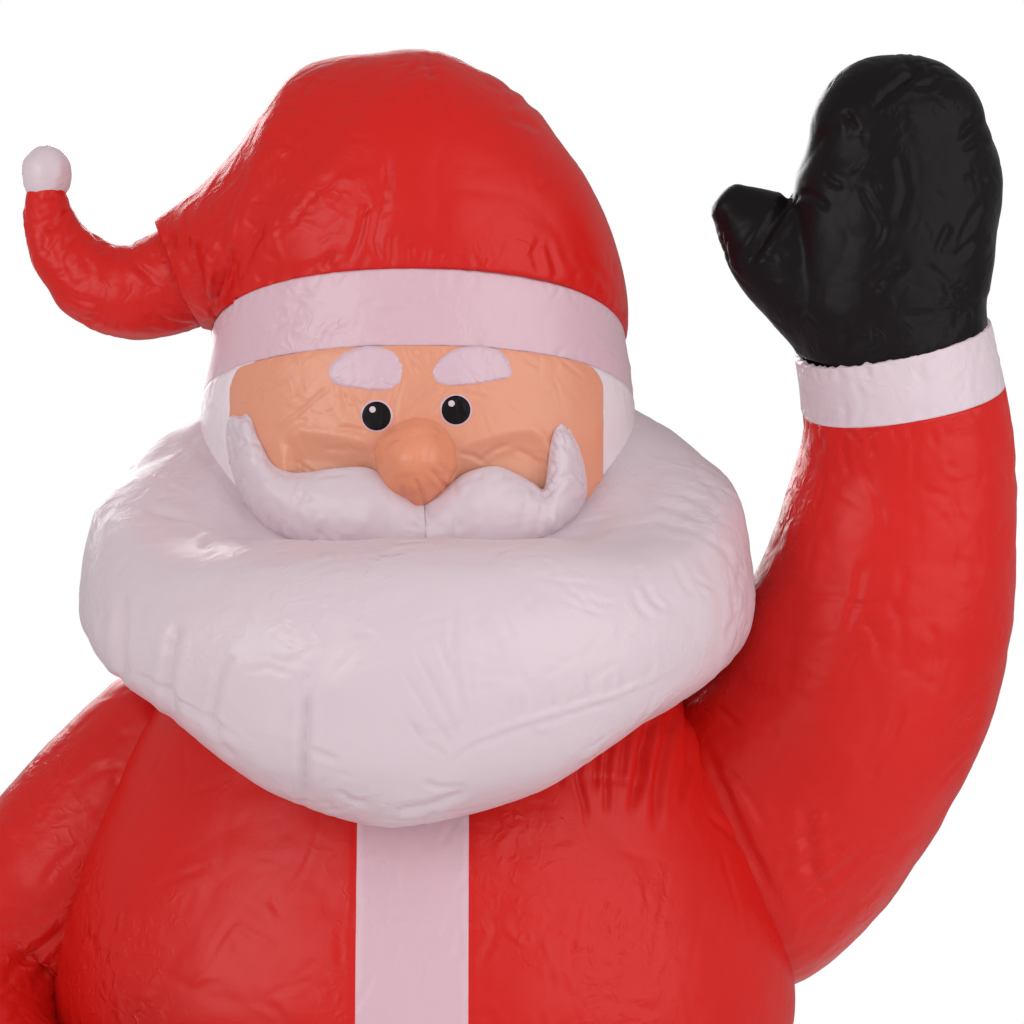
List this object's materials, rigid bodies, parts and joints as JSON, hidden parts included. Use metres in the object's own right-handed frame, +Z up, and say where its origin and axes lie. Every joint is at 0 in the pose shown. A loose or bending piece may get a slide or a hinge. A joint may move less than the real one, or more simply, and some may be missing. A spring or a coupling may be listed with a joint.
{
  "type": "inflatable santa",
  "caption": "Air-filled fabric Santa figure with a puffed beard, folded-over hat, moustache and one arm raised in a wave, standing on a low oval base pad.",
  "frame": {"origin": "middle of the base pad's underside, on the ground", "axes": "+Z up, the figure faces -Y, and its raised arm is on the +X side"},
  "size_m": [1.6397, 1.072, 2.3978],
  "materials": {
    "white_fabric": "satin-sheen woven polyester taffeta, lightly crinkled",
    "red_fabric": "satin-sheen woven polyester taffeta, lightly crinkled",
    "black_fabric": "satin-sheen woven polyester taffeta, lightly crinkled",
    "skin_fabric": "satin-sheen woven polyester taffeta, lightly crinkled",
    "nose_fabric": "satin-sheen woven polyester taffeta, lightly crinkled",
    "gold_fabric": "satin-sheen woven polyester taffeta, lightly crinkled"
  },
  "bodies": {
    "root": {"base_pad": "white_fabric", "beard": "white_fabric", "coat_hem": "white_fabric", "coat_trim": "white_fabric", "skirt_trim": "white_fabric", "hair": "white_fabric", "hat_band": "white_fabric", "hat_pompom": "white_fabric", "left_eyebrow": "white_fabric", "right_eyebrow": "white_fabric", "left_moustache": "white_fabric", "right_moustache": "white_fabric", "raised_cuff": "white_fabric", "lowered_cuff": "white_fabric", "coat_body": "red_fabric", "coat_skirt": "red_fabric", "hat_crown": "red_fabric", "hat_tail": "red_fabric", "left_leg": "red_fabric", "right_leg": "red_fabric", "raised_arm": "red_fabric", "lowered_arm": "red_fabric", "belt": "black_fabric", "left_boot": "black_fabric", "right_boot": "black_fabric", "raised_mitten": "black_fabric", "lowered_mitten": "black_fabric", "left_eye": "black_fabric", "right_eye": "black_fabric", "face": "skin_fabric", "nose": "nose_fabric", "belt_buckle": "gold_fabric"}
  },
  "joints": []
}
